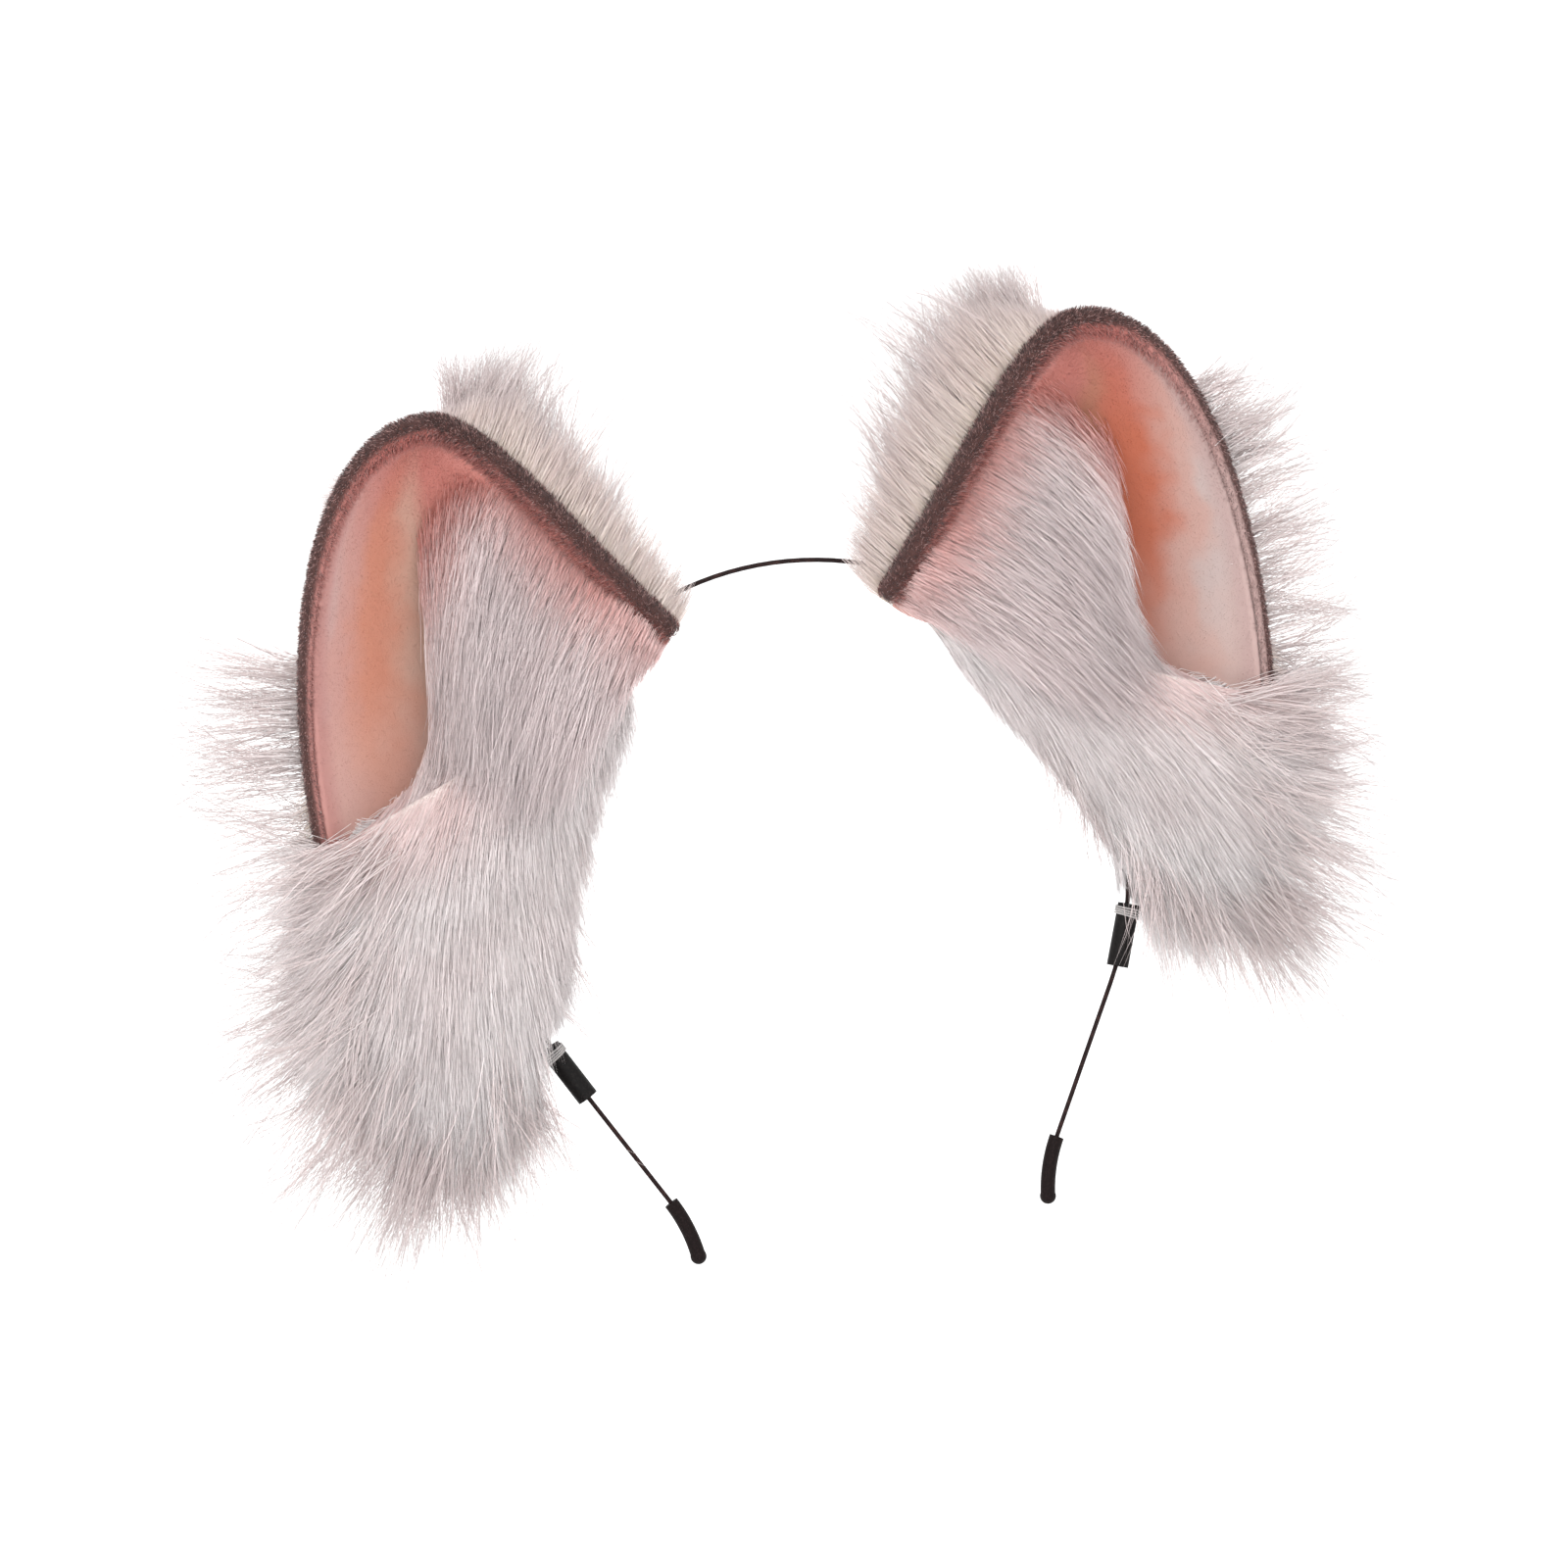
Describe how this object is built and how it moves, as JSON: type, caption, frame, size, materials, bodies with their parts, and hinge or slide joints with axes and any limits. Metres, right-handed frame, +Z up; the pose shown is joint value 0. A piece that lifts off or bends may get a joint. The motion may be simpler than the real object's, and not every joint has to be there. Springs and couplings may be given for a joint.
{
  "type": "animal ears headband",
  "caption": "Thin sprung wire headband with cupped faux-fur animal ears, plush linings and long fur cuffs that slide along the wire; rubber-tipped ends.",
  "frame": {"origin": "centre of the round part of the wire hoop, in the plane of the wire, where the middle of the wearer's head lies", "axes": "+Z up to the crown of the hoop, +X to the right-hand ear as seen from the front, the ears open toward -Y"},
  "size_m": [0.245, 0.0621, 0.1896],
  "materials": {
    "lacquered_wire": "dark brown lacquer, satin",
    "black_rubber": "dipped rubber, soft sheen",
    "white_fur": "long-pile faux fur, white with a faint pink blush",
    "felt_stiffener": "stiff felt, matte",
    "plush_lining": "short plush, airbrushed salmon and orange fading to cream",
    "brown_rim": "dark brown flocked roll with pale flecks",
    "shaping_wire": "bare soft wire",
    "woven_tape": "plain woven tape",
    "white_felt": "soft felt, matte",
    "white_thread": "twisted sewing thread",
    "black_sleeve": "black plastic tube, satin",
    "grey_thread": "pale grey sewing thread"
  },
  "bodies": {
    "band": {"band_wire": "lacquered_wire", "left_tip": "black_rubber", "right_tip": "black_rubber"},
    "left_ear": {"left_outer_fur": "white_fur", "left_core": "felt_stiffener", "left_lining": "plush_lining", "left_rim": "brown_rim", "left_rim_wire": "shaping_wire", "left_inner_tuft": "white_fur", "left_cuff_fur": "white_fur", "left_wire_casing": "woven_tape", "left_base_felt": "white_felt", "left_base_stitches": "white_thread", "left_guide_sleeve": "black_sleeve", "left_sleeve_thread": "grey_thread"},
    "right_ear": {"right_outer_fur": "white_fur", "right_core": "felt_stiffener", "right_lining": "plush_lining", "right_rim": "brown_rim", "right_rim_wire": "shaping_wire", "right_inner_tuft": "white_fur", "right_cuff_fur": "white_fur", "right_wire_casing": "woven_tape", "right_base_felt": "white_felt", "right_base_stitches": "white_thread", "right_guide_sleeve": "black_sleeve", "right_sleeve_thread": "grey_thread"}
  },
  "joints": [
    {"name": "left_ear_slide", "type": "hinge", "parent": "band", "child": "left_ear", "pos_m": [0, 0, 0], "axis": [0, 1, 0], "range_deg": [0, 8]},
    {"name": "right_ear_slide", "type": "hinge", "parent": "band", "child": "right_ear", "pos_m": [0, 0, 0], "axis": [0, -1, 0], "range_deg": [-3, 8]}
  ]
}
